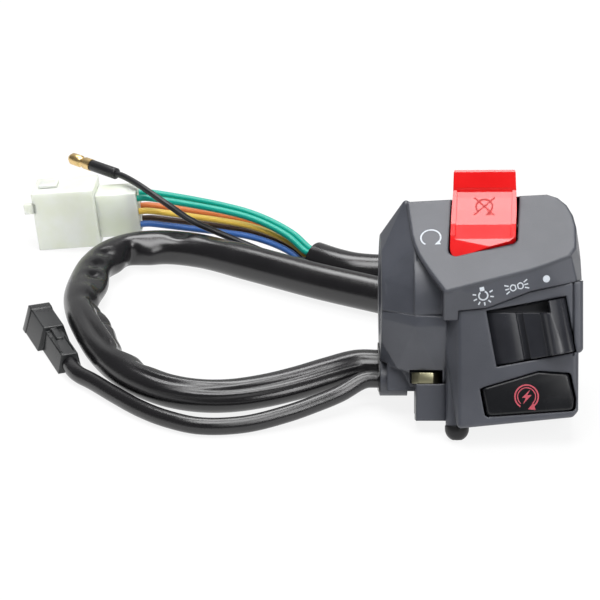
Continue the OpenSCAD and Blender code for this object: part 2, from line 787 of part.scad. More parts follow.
module brake_plug() {
    color("#222327") plug_frame() difference() {
        union() {
            plug_length(0, plug_neck + 1, 7.4, 5, 6);
            plug_length(plug_neck, plug_end, 10.6, 6.2, 7.5);
            plug_length(plug_end - 3, plug_end, 11, 6.6, 7.8);
            plug_length(plug_neck - 7, plug_neck + 1, 2.2, 2, 6.8);
        }
        for (y = [-1.7, 1.7]) translate([plug_end - 10, y - 1.3, 2.8 - lead_r]) cube([12, 2.6, 1.8]);
    }
}

module brake_terminals() {
    color("#c9a45a") plug_frame() for (y = [-1.7, 1.7])
        translate([plug_end - 10, y - 1.1, 2.8 - lead_r]) cube([8, 2.2, 0.8]);
}

upper_case();
lower_case();
front_screw();
rear_screw();
case_inserts();
boss_nut();
harness_grommet();
stop_rocker();
stop_pivots();
stop_plunger();
stop_spring();
stop_contact_base();
stop_contacts();
light_rocker();
light_pivots();
light_plunger();
light_spring();
light_contact_base();
light_contacts();
start_button();
start_spring();
start_bridge();
start_contact_base();
start_contacts();
main_sleeve();
brake_lead();
wire_green_a();
wire_green_b();
wire_brown();
wire_orange();
wire_yellow();
wire_blue();
wire_black();
bullet_sleeve();
bullet_terminal();
connector_shell();
connector_terminals();
brake_plug();
brake_terminals();
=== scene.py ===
"""Looks of a handlebar switch cluster and its harness, in the part's own frame.

Sizes of pieces are written in millimetres, and MM turns them into metres. The studio's places and the
depths of the finishes are in metres.
"""

import logging
import math
from dataclasses import dataclass, field
from enum import Enum
from typing import Dict, List, Optional, Sequence, Tuple, Union

import bpy
from mathutils import Matrix, Vector


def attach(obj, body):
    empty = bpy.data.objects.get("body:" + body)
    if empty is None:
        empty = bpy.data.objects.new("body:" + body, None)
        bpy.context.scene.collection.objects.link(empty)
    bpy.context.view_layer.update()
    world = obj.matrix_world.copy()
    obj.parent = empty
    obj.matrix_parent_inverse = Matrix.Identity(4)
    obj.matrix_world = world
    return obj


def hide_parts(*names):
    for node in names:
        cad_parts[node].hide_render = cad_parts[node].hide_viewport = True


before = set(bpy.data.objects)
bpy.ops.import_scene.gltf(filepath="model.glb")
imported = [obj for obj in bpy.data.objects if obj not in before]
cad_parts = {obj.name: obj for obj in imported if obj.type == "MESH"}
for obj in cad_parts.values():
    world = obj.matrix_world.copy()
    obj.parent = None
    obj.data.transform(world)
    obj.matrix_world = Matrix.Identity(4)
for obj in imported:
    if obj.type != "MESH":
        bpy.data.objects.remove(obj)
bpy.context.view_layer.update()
log = logging.getLogger("switch_cluster")

MM = 0.001
Colour = Tuple[float, float, float]
Point = Tuple[float, float, float]
Corners = Tuple[Point, Point]
Piece = bpy.types.Object


def turn(degrees: float, axis: str) -> Matrix:
    """Give a turn about X, Y or Z.

    Args:
        degrees: angle of the turn.
        axis: letter of the axis.

    Returns:
        The turn as a 4 by 4 matrix.
    """
    return Matrix.Rotation(math.radians(degrees), 4, axis)


def shift(x: float, y: float, z: float) -> Matrix:
    """Give a shift by distances in millimetres.

    Args:
        x: distance along X.
        y: distance along Y.
        z: distance along Z.

    Returns:
        The shift as a 4 by 4 matrix, in metres.
    """
    return Matrix.Translation((x * MM, y * MM, z * MM))


def shade(colour: Colour, share: float, lift: float = 0.0) -> Colour:
    """Make a colour paler or deeper.

    Args:
        colour: the colour to start from.
        share: what each channel is multiplied by.
        lift: what is then added to it.

    Returns:
        The new colour, with no channel above 1.
    """
    return tuple(min(1.0, c * share + lift) for c in colour)


# Frames of the leaned case, the hood, the light switch, the connector's shell and the brake plug.
LEAN = turn(-25, "X")
HOOD = LEAN @ shift(1, -12.912, 22) @ turn(-7.9, "Z") @ turn(52.2, "X")
LIGHT = LEAN @ shift(13.4, -23, -9.65) @ turn(-10.5, "Y")
SHELL = shift(-137, 100.8, -30) @ turn(-4, "Z") @ turn(-6, "Y")
PLUG = shift(-119.4, 11.6, -27.5) @ turn(111, "Z")


class Body(Enum):
    """The moving bodies of the part."""

    HOUSING = "housing"
    STOP = "stop_switch"
    LIGHT = "light_switch"
    START = "start_switch"


class Side(Enum):
    """The outward directions that faces are picked by."""

    LEFT = (-1, 0, 0)
    RIGHT = (1, 0, 0)


Number = Union[float, "Value"]


class Value:
    """A number socket of a material, with Python's own operators."""

    def __init__(self, board: "Board", socket: bpy.types.NodeSocket) -> None:
        """Keep the board that the socket is on, and the socket."""
        self.board = board
        self.socket = socket

    def _maths(self, operation: str, first: Number, second: Number) -> "Value":
        """Add one Math node.

        Args:
            operation: name of the node's operation.
            first: its first number.
            second: its second number.

        Returns:
            The node's result.
        """
        return self.board.node("ShaderNodeMath", {"operation": operation}, {0: first, 1: second})

    def __add__(self, other: Number) -> "Value":
        """Add a number."""
        return self._maths("ADD", self, other)

    def __radd__(self, other: Number) -> "Value":
        """Add to a number."""
        return self._maths("ADD", other, self)

    def __sub__(self, other: Number) -> "Value":
        """Take a number away."""
        return self._maths("SUBTRACT", self, other)

    def __rsub__(self, other: Number) -> "Value":
        """Take away from a number."""
        return self._maths("SUBTRACT", other, self)

    def __mul__(self, other: Number) -> "Value":
        """Multiply by a number."""
        return self._maths("MULTIPLY", self, other)

    def __rmul__(self, other: Number) -> "Value":
        """Multiply a number."""
        return self._maths("MULTIPLY", other, self)

    def above(self, low: float, high: float) -> "Value":
        """Rise from 0 to 1 between two numbers.

        Args:
            low: where the rise starts.
            high: where it ends.

        Returns:
            The smooth step.
        """
        return self.board.node(
            "ShaderNodeMapRange",
            {"interpolation_type": "SMOOTHSTEP"},
            {"Value": self, "From Min": low, "From Max": high},
        )


# Socket numbers of a Mix node that mixes colours.
MIX_SHARE = 0
MIX_LOW = 6
MIX_HIGH = 7
MIX_RESULT = 2


class Board:
    """The nodes of one material."""

    def __init__(self, name: str) -> None:
        """Start a material with an empty node board.

        Args:
            name: name of the material.
        """
        self.material = bpy.data.materials.new(name)
        self.material.use_nodes = True
        self.tree = self.material.node_tree
        self.tree.nodes.clear()

    def node(
        self, kind: str, settings: Dict[str, object], inputs: Dict[object, object], output: object = 0
    ) -> Value:
        """Add one node.

        Args:
            kind: the node's type.
            settings: its own settings, set first.
            inputs: a number, colour, vector or link for each socket.
            output: name or number of the socket to give back.

        Returns:
            That output.
        """
        made = self.tree.nodes.new(kind)
        for key, setting in settings.items():
            setattr(made, key, setting)
        for key, given in inputs.items():
            socket = made.inputs[key]
            if isinstance(given, Value):
                self.tree.links.new(given.socket, socket)
            elif socket.type == "RGBA":
                socket.default_value = (*given, 1)
            else:
                socket.default_value = given
        return Value(self, made.outputs[output])

    def place(self, stretch: Point = (1, 1, 1), kind: str = "Object") -> Value:
        """Give coordinates on the piece.

        Args:
            stretch: scale of the pattern along each axis.
            kind: Object or UV.

        Returns:
            The mapped coordinates.
        """
        raw = self.node("ShaderNodeTexCoord", {}, {}, kind)
        return self.node("ShaderNodeMapping", {}, {"Vector": raw, "Scale": stretch})

    def noise(self, at: Value, scale: float, detail: float = 3.0, rough: float = 0.55) -> Value:
        """Give a noise pattern.

        Args:
            at: coordinates to read it at.
            scale: how fine it is, per metre.
            detail: how many finer layers it has.
            rough: strength of the finer layers.

        Returns:
            A number about 0.5.
        """
        inputs = {"Vector": at, "Scale": scale, "Detail": detail, "Roughness": rough}
        return self.node("ShaderNodeTexNoise", {}, inputs, "Fac")

    def blend(self, low: Colour, high: Colour, share: Value) -> Value:
        """Mix two colours.

        Args:
            low: colour where the share is 0.
            high: colour where the share is 1.
            share: how much of the second.

        Returns:
            The mixed colour.
        """
        inputs = {MIX_SHARE: share, MIX_LOW: low, MIX_HIGH: high}
        return self.node("ShaderNodeMix", {"data_type": "RGBA"}, inputs, MIX_RESULT)

    def rounded(self, radius: float) -> Value:
        """Give a normal that rounds the edges, by a radius in metres."""
        return self.node("ShaderNodeBevel", {"samples": 6}, {"Radius": radius})

    def bump(self, height: Value, depth: float, under: Optional[Value] = None) -> Value:
        """Turn a height into a normal.

        Args:
            height: pattern of heights.
            depth: distance that 1 stands for, in metres.
            under: a normal to build on.

        Returns:
            The bent normal.
        """
        inputs: Dict[object, object] = {"Height": height, "Distance": depth, "Strength": 1.0}
        if under is not None:
            inputs["Normal"] = under
        return self.node("ShaderNodeBump", {}, inputs, "Normal")

    def end(self, shader: Value) -> bpy.types.Material:
        """Lead a shader to the material's surface.

        Args:
            shader: the last shader.

        Returns:
            The finished material.
        """
        out = self.tree.nodes.new("ShaderNodeOutputMaterial")
        self.tree.links.new(shader.socket, out.inputs["Surface"])
        return self.material

    def finish(self, inputs: Dict[object, object]) -> bpy.types.Material:
        """End the material in one principled shader, with these values and links in its sockets."""
        return self.end(self.node("ShaderNodeBsdfPrincipled", {}, inputs))


@dataclass(frozen=True)
class MouldedPlastic:
    """Injection-moulded plastic with a fine grain."""

    name: str
    colour: Colour
    rough: float
    grain: float = 0.00002
    grain_scale: float = 2600.0
    mottle: float = 0.12
    coat: float = 0.0
    coat_rough: float = 0.06
    edge: float = 0.0004
    shine: float = 0.5

    def build(self) -> bpy.types.Material:
        """Make the material.

        Returns:
            The material.
        """
        board = Board(self.name)
        at = board.place()
        cloud = board.noise(at, 60, 4)
        fine = board.noise(at, self.grain_scale, 2)
        pale = shade(self.colour, 1 + self.mottle, 0.004)
        deep = shade(self.colour, 1 - self.mottle)
        tint = board.blend(deep, pale, cloud.above(0.3, 0.7))
        rough = self.rough - 0.05 + 0.1 * cloud + 0.06 * fine
        normal = board.bump(fine, self.grain, board.rounded(self.edge))
        return board.finish(
            {
                "Base Color": tint,
                "Roughness": rough,
                "Normal": normal,
                "Coat Weight": self.coat,
                "Coat Roughness": self.coat_rough,
                "Specular IOR Level": self.shine,
            }
        )


@dataclass(frozen=True)
class Vinyl:
    """Soft shiny vinyl of sleeves and wires."""

    name: str
    colour: Colour
    rough: float
    ripple: float = 0.00004
    shine: float = 0.5

    def build(self) -> bpy.types.Material:
        """Make the material.

        Returns:
            The material.
        """
        board = Board(self.name)
        at = board.place()
        along = board.place((90, 6, 1), kind="UV")
        cloud = board.noise(at, 90, 4)
        drawn = board.noise(along, 6, 3)
        dust = board.noise(at, 900, 5, 0.7).above(0.58, 0.8)
        pale = shade(self.colour, 1.15, 0.006)
        tint = board.blend(self.colour, pale, 0.7 * cloud + 0.3 * dust)
        rough = self.rough - 0.06 + 0.14 * cloud + 0.05 * dust
        normal = board.bump(cloud + 0.5 * drawn, self.ripple)
        inputs = {"Base Color": tint, "Roughness": rough, "Normal": normal, "Specular IOR Level": self.shine}
        return board.finish(inputs)


@dataclass(frozen=True)
class Metal:
    """Bare, plated or coated metal."""

    name: str
    colour: Colour
    rough: float
    metallic: float
    tarnish: Colour
    grain: float = 0.000008

    def build(self) -> bpy.types.Material:
        """Make the material.

        Returns:
            The material.
        """
        board = Board(self.name)
        at = board.place()
        cloud = board.noise(at, 300, 5)
        lines = board.noise(board.place((1, 1, 14)), 900, 2)
        stain = cloud.above(0.5, 0.85) * 0.5
        tint = board.blend(self.colour, self.tarnish, stain)
        rough = self.rough + 0.14 * cloud + 0.08 * lines - 0.1
        normal = board.bump(lines, self.grain)
        return board.finish(
            {"Base Color": tint, "Roughness": rough, "Metallic": self.metallic, "Normal": normal}
        )


@dataclass(frozen=True)
class Nylon:
    """Milky nylon that lets some light through."""

    name: str
    colour: Colour
    rough: float = 0.34
    grain: float = 0.00001
    edge: float = 0.0004
    glow: float = 0.6
    glow_reach: Point = (0.004, 0.004, 0.0035)

    def build(self) -> bpy.types.Material:
        """Make the material.

        Returns:
            The material.
        """
        board = Board(self.name)
        at = board.place()
        cloud = board.noise(at, 110, 3)
        warm = tuple(c * k for c, k in zip(self.colour, (0.95, 0.96, 0.88)))
        tint = board.blend(warm, self.colour, cloud.above(0.3, 0.7))
        rough = self.rough + 0.12 * cloud
        normal = board.bump(board.noise(at, 1500, 2), self.grain, board.rounded(self.edge))
        return board.finish(
            {
                "Base Color": tint,
                "Roughness": rough,
                "Normal": normal,
                "Subsurface Weight": self.glow,
                "Subsurface Radius": self.glow_reach,
                "Subsurface Scale": 1.0,
            }
        )


@dataclass(frozen=True)
class Ink:
    """Printed paint of the signs."""

    name: str
    colour: Colour
    rough: float = 0.45

    def build(self) -> bpy.types.Material:
        """Make the material.

        Returns:
            The material.
        """
        board = Board(self.name)
        grain = board.noise(board.place(), 1800, 4)
        worn = shade(self.colour, 0.82)
        tint = board.blend(worn, self.colour, grain.above(0.3, 0.6))
        return board.finish({"Base Color": tint, "Roughness": self.rough + 0.2 * grain})


class Finishes:
    """All the finishes of the part, each made once."""

    kinds: Dict[str, object] = {
        "case": MouldedPlastic("case_plastic", (0.05, 0.054, 0.068), 0.38, edge=0.0008, shine=0.7),
        "red": MouldedPlastic(
            "red_plastic", (0.78, 0.004, 0.005), 0.22, 0.000003, 900, 0.04, coat=1.0, shine=0.3
        ),
        "knob": MouldedPlastic(
            "knob_plastic", (0.019, 0.02, 0.025), 0.22, 0.000002, 1400, 0.1, 0.1, edge=0.0006, shine=0.4
        ),
        "button": MouldedPlastic(
            "button_plastic", (0.006, 0.0065, 0.008), 0.22, 0.000002, 1400, 0.1, 0.1, edge=0.0006, shine=0.3
        ),
        "plug": MouldedPlastic(
            "plug_plastic", (0.011, 0.012, 0.013), 0.26, 0.000004, 1800, 0.1, edge=0.0005, shine=0.6
        ),
        "sleeve": Vinyl("sleeve_vinyl", (0.006, 0.0056, 0.0068), 0.21, 0.00003, 0.75),
        "green": Vinyl("green_vinyl", (0.0, 0.37, 0.28), 0.3),
        # The brown wire's colour is its own brown deepened with painted shade, so the wire reads as the dark
        # gap between the wires.
        "brown": Vinyl("brown_and_shade_vinyl", (0.05, 0.026, 0.016), 0.34),
        "orange": Vinyl("orange_vinyl", (0.95, 0.25, 0.08), 0.32),
        "yellow": Vinyl("yellow_vinyl", (0.98, 0.62, 0.1), 0.32),
        "blue": Vinyl("blue_vinyl", (0.05, 0.16, 0.5), 0.32),
        "black": Vinyl("black_vinyl", (0.012, 0.012, 0.014), 0.33),
        "screw": Metal("black_screw_coat", (0.014, 0.014, 0.015), 0.4, 0.3, (0.03, 0.028, 0.026)),
        "zinc": Metal("yellow_zinc", (0.42, 0.4, 0.26), 0.36, 1.0, (0.2, 0.17, 0.08)),
        "steel": Metal("bright_steel", (0.56, 0.57, 0.58), 0.3, 1.0, (0.3, 0.29, 0.28)),
        "brass": Metal("bright_brass", (0.88, 0.64, 0.3), 0.34, 1.0, (0.6, 0.4, 0.16)),
        "board": MouldedPlastic("contact_board", (0.03, 0.02, 0.014), 0.55, 0.00002, 1200, 0.25),
        "nylon": Nylon("milky_nylon", (0.8, 0.84, 0.765)),
        "white_ink": Ink("white_ink", (0.6, 0.64, 0.69)),
        "red_ink": Ink("start_ink", (0.5, 0.07, 0.1)),
        "stop_ink": Ink("stop_ink", (0.5, 0.012, 0.012)),
    }
    made: Dict[str, bpy.types.Material] = {}

    @classmethod
    def get(cls, name: str) -> bpy.types.Material:
        """Give a finish, made on its first use.

        Args:
            name: its short name.

        Returns:
            The material.
        """
        if name not in cls.made:
            cls.made[name] = cls.kinds[name].build()
        return cls.made[name]


class Bench:
    """Small steps with Blender's own tools, each on one piece."""

    # How closely a face has to look and to lie to the side that is picked.
    FACING = 0.99
    NEAR = 0.01 * MM

    @staticmethod
    def clear() -> None:
        """Leave edit mode and deselect everything."""
        if bpy.context.object and bpy.context.object.mode != "OBJECT":
            bpy.ops.object.mode_set(mode="OBJECT")
        bpy.ops.object.select_all(action="DESELECT")

    @staticmethod
    def take(piece: Piece) -> None:
        """Select one piece alone and make it active.

        Args:
            piece: the piece to work on.
        """
        Bench.clear()
        piece.select_set(True)
        bpy.context.view_layer.objects.active = piece

    @staticmethod
    def settle(piece: Piece, place: Matrix) -> None:
        """Put a piece at a place and apply it, so that the object sits at the origin.

        Args:
            piece: the piece to move.
            place: frame that it was drawn in.
        """
        Bench.take(piece)
        piece.matrix_world = place @ piece.matrix_world
        bpy.ops.object.transform_apply(location=True, rotation=True, scale=True)

    @staticmethod
    def block(name: str, low: Point, high: Point) -> Piece:
        """Add a box between two corners.

        Args:
            name: name of the piece.
            low: lowest corner, in millimetres.
            high: highest corner, in millimetres.

        Returns:
            The piece.
        """
        Bench.clear()
        middle = [(a + b) / 2 * MM for a, b in zip(low, high)]
        size = [(b - a) * MM for a, b in zip(low, high)]
        bpy.ops.mesh.primitive_cube_add(size=1, location=middle, scale=size)
        piece = bpy.context.object
        piece.name = name
        piece.data.name = name
        bpy.ops.object.transform_apply(location=True, rotation=True, scale=True)
        return piece

    @staticmethod
    def open_all(piece: Piece) -> None:
        """Go into edit mode with the whole mesh selected.

        Args:
            piece: the piece to work on.
        """
        Bench.take(piece)
        bpy.ops.object.mode_set(mode="EDIT")
        bpy.ops.mesh.select_all(action="SELECT")

    @staticmethod
    def face_out(piece: Piece) -> None:
        """Turn all the faces of a piece outwards.

        Args:
            piece: the piece to work on.
        """
        Bench.open_all(piece)
        bpy.ops.mesh.normals_make_consistent(inside=False)
        bpy.ops.object.mode_set(mode="OBJECT")

    @staticmethod
    def pick_side(piece: Piece, side: Side) -> None:
        """Select the outermost faces on one side and go into edit mode.

        Args:
            piece: the piece to work on.
            side: the side to pick.
        """
        out = Vector(side.value)
        far = max(v.co.dot(out) for v in piece.data.vertices)
        Bench.take(piece)
        bpy.ops.object.mode_set(mode="EDIT")
        bpy.ops.mesh.select_mode(type="FACE")
        bpy.ops.mesh.select_all(action="DESELECT")
        bpy.ops.object.mode_set(mode="OBJECT")
        for polygon in piece.data.polygons:
            outermost = far - polygon.center.dot(out) < Bench.NEAR
            polygon.select = outermost and polygon.normal.dot(out) > Bench.FACING
        bpy.ops.object.mode_set(mode="EDIT")

    @staticmethod
    def sink(piece: Piece, side: Side, wall: float, depth: float) -> None:
        """Sink a hollow into one side of a piece.

        Args:
            piece: the piece to work on.
            side: the side that the hollow opens on.
            wall: thickness left round it, in millimetres.
            depth: depth of the hollow, in millimetres.
        """
        Bench.pick_side(piece, side)
        bpy.ops.mesh.inset(thickness=wall * MM, depth=0)
        move = Vector(side.value) * -depth * MM
        bpy.ops.mesh.extrude_region_move(TRANSFORM_OT_translate={"value": move})
        bpy.ops.object.mode_set(mode="OBJECT")

    @staticmethod
    def modify(piece: Piece, kind: str, **settings: object) -> None:
        """Add a modifier and apply it.

        Args:
            piece: the piece to work on.
            kind: the modifier's type.
            **settings: its settings.
        """
        Bench.take(piece)
        modifier = piece.modifiers.new(kind.lower(), kind)
        for key, setting in settings.items():
            setattr(modifier, key, setting)
        bpy.ops.object.modifier_apply(modifier=modifier.name)

    @staticmethod
    def round_edges(piece: Piece, width: float, steps: int, angle: float = 35) -> None:
        """Bevel the sharp edges of a piece and shade it.

        Args:
            piece: the piece to work on.
            width: width of the bevel, in millimetres.
            steps: how many faces it has.
            angle: smallest angle that counts as sharp.
        """
        Bench.modify(
            piece, "BEVEL", width=width * MM, segments=steps, limit_method="ANGLE",
            angle_limit=math.radians(angle), use_clamp_overlap=True, miter_outer="MITER_ARC",
        )
        Bench.smooth(piece)

    @staticmethod
    def smooth(piece: Piece, angle: float = 40) -> None:
        """Shade a piece smooth, except at its sharp edges."""
        Bench.take(piece)
        bpy.ops.object.shade_smooth_by_angle(angle=math.radians(angle))

    @staticmethod
    def cut_slope(piece: Piece, corners: Corners, axis: int, rise: float, place: Matrix) -> None:
        """Cut a piece with a wedge, so that it gets a sloped face.

        Args:
            piece: the piece to cut.
            corners: lowest and highest corner of the wedge, in millimetres.
            axis: number of the axis that the wedge's underside slopes along.
            rise: how far the underside rises on its way along it, in millimetres.
            place: frame of the wedge.
        """
        wedge = Bench.block("wedge", *corners)
        middle = [(a + b) / 2 * MM for a, b in zip(*corners)]
        for vertex in wedge.data.vertices:
            if vertex.co.z < middle[2] and vertex.co[axis] > middle[axis]:
                vertex.co.z += rise * MM
        Bench.settle(wedge, place)
        Bench.modify(piece, "BOOLEAN", operation="DIFFERENCE", solver="EXACT", object=wedge)
        bpy.data.objects.remove(wedge)

    @staticmethod
    def copy_node(node: str, name: str) -> Piece:
        """Copy a CAD node's mesh and merge its loose triangles.

        Args:
            node: name of the node.
            name: name of the new piece.

        Returns:
            The piece, with whole flat faces.
        """
        piece = bpy.data.objects.new(name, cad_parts[node].data.copy())
        piece.data.name = name
        piece.data.materials.clear()
        bpy.context.scene.collection.objects.link(piece)
        Bench.take(piece)
        bpy.ops.mesh.customdata_custom_splitnormals_clear()
        Bench.open_all(piece)
        bpy.ops.mesh.remove_doubles(threshold=0.002 * MM)
        bpy.ops.mesh.dissolve_limited(angle_limit=math.radians(0.5))
        bpy.ops.object.mode_set(mode="OBJECT")
        return piece

    @staticmethod
    def join(name: str, pieces: Sequence[Piece]) -> Piece:
        """Join pieces into one.

        Args:
            name: name of the joined piece.
            pieces: the pieces, the first of which stays.

        Returns:
            The joined piece.
        """
        Bench.take(pieces[0])
        for piece in pieces[1:]:
            piece.select_set(True)
        bpy.ops.object.join()
        joined = bpy.context.object
        joined.name = name
        joined.data.name = name
        return joined

    @staticmethod
    def dress(piece: Piece, finish: str, body: Body, slot: str, nodes: Sequence[str] = ()) -> None:
        """Give a piece its finish and its body.

        Args:
            piece: the finished shape.
            finish: short name of its finish.
            body: the body it moves with.
            slot: the record's material slot; not used.
            nodes: CAD nodes that it stands for.
        """
        piece.data.materials.clear()
        piece.data.materials.append(Finishes.get(finish))
        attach(piece, body.value)
        if nodes:
            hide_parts(*nodes)
        log.info("%s: %d faces, on %s", piece.name, len(piece.data.polygons), body.value)


@dataclass
class Studio:
    """Camera, floor and lights."""

    eye: Point = (-0.0511, -0.6529, 0.3035)
    look: Point = (0.0, 0.906308, -0.422618)
    lens: float = 149.95
    sensor: float = 36.0
    floor_z: float = -0.0301
    floor_colour: Colour = (0.9, 0.9, 0.9)
    floor_glow: float = 0.86
    front_power: float = 6.2
    rear_power: float = 6.0
    fill_power: float = 3.4
    back_power: float = 2.4
    strip_power: float = 0.7
    ambient: float = 0.14

    def camera(self) -> None:
        """Set the camera at the photograph's angle."""
        data = bpy.data.cameras.new("studio_camera")
        data.lens = self.lens
        data.sensor_width = self.sensor
        data.clip_start = 0.01
        camera = bpy.data.objects.new("studio_camera", data)
        camera.location = self.eye
        camera.rotation_mode = "QUATERNION"
        camera.rotation_quaternion = Vector(self.look).to_track_quat("-Z", "Y")
        bpy.context.scene.collection.objects.link(camera)
        bpy.context.scene.camera = camera

    def floor(self) -> None:
        """Lay a white floor that keeps a faint shadow."""
        Bench.clear()
        bpy.ops.mesh.primitive_plane_add(size=6, location=(0, 0, self.floor_z))
        plane = bpy.context.object
        plane.name = "studio_floor"
        board = Board("studio_floor")
        kinds = ("Is Camera Ray", "Is Glossy Ray", "Is Transmission Ray")
        camera, glossy, through = (board.node("ShaderNodeLightPath", {}, {}, kind) for kind in kinds)
        seen = (camera + glossy + through) * self.floor_glow
        share = board.node("ShaderNodeMath", {"operation": "MINIMUM"}, {0: seen, 1: self.floor_glow})
        white = board.node("ShaderNodeEmission", {}, {"Color": (1, 1, 1), "Strength": 1.0})
        matte = board.node("ShaderNodeBsdfDiffuse", {}, {"Color": self.floor_colour})
        mixed = board.node("ShaderNodeMixShader", {}, {0: share, 1: matte, 2: white})
        plane.data.materials.append(board.end(mixed))

    def world(self) -> None:
        """Fill the room with plain white light."""
        world = bpy.data.worlds.new("studio_world")
        bpy.context.scene.world = world
        world.use_nodes = True
        tree = world.node_tree
        tree.nodes.clear()
        back = tree.nodes.new("ShaderNodeBackground")
        back.inputs["Color"].default_value = (1, 1, 1, 1)
        back.inputs["Strength"].default_value = self.ambient
        out = tree.nodes.new("ShaderNodeOutputWorld")
        tree.links.new(back.outputs["Background"], out.inputs["Surface"])

    def lamp(self, name: str, place: Point, aim: Point, size: Tuple[float, float], power: float) -> None:
        """Hang one soft lamp.

        Args:
            name: name of the lamp.
            place: where it hangs.
            aim: the point it faces.
            size: its width and height.
            power: its power in watts.
        """
        data = bpy.data.lights.new(name, "AREA")
        data.shape = "RECTANGLE"
        data.size, data.size_y = size
        data.energy = power
        lamp = bpy.data.objects.new(name, data)
        lamp.location = place
        lamp.rotation_mode = "QUATERNION"
        lamp.rotation_quaternion = (Vector(aim) - Vector(place)).to_track_quat("-Z", "Y")
        bpy.context.scene.collection.objects.link(lamp)

    def build(self) -> None:
        """Build the studio."""
        bpy.context.scene.view_settings.view_transform = "Standard"
        self.camera()
        self.floor()
        self.world()
        self.lamp("front_softbox", (-0.1, -0.18, 0.85), (-0.1, -0.18, 0), (0.62, 0.53), self.front_power)
        self.lamp("rear_softbox", (-0.1, 0.48, 0.85), (-0.1, 0.48, 0), (0.62, 0.44), self.rear_power)
        self.lamp("back_panel", (-0.05, 1.1, 0.45), (-0.05, 0, 0.45), (2.2, 0.9), self.back_power)
        self.lamp("right_softbox", (0.4, -0.58, 0.62), (0, 0, 0), (0.5, 0.5), self.fill_power)
        self.lamp("right_strip", (0.54, -0.61, 0.36), (0.015, -0.02, 0), (0.16, 0.22), self.strip_power)
        log.info("studio is ready")


@dataclass
class Crease:
    """A dent or ridge pressed into a sleeve."""

    at: float
    around: float
    depth: float
    long: float
    wide: float
    skew: float = 0.0

    def press(self, s: float, a: float) -> float:
        """Give the change of radius.

        Args:
            s: distance along the sleeve, in millimetres.
            a: angle round it, in degrees.

        Returns:
            The change, in millimetres.
        """
        side = (a - self.around + 180) % 360 - 180
        u = (s - self.at - self.skew * side) / self.long
        v = side / self.wide
        if abs(u) > 3 or abs(v) > 3:
            return 0.0
        return -self.depth * math.exp(-u * u - v * v)


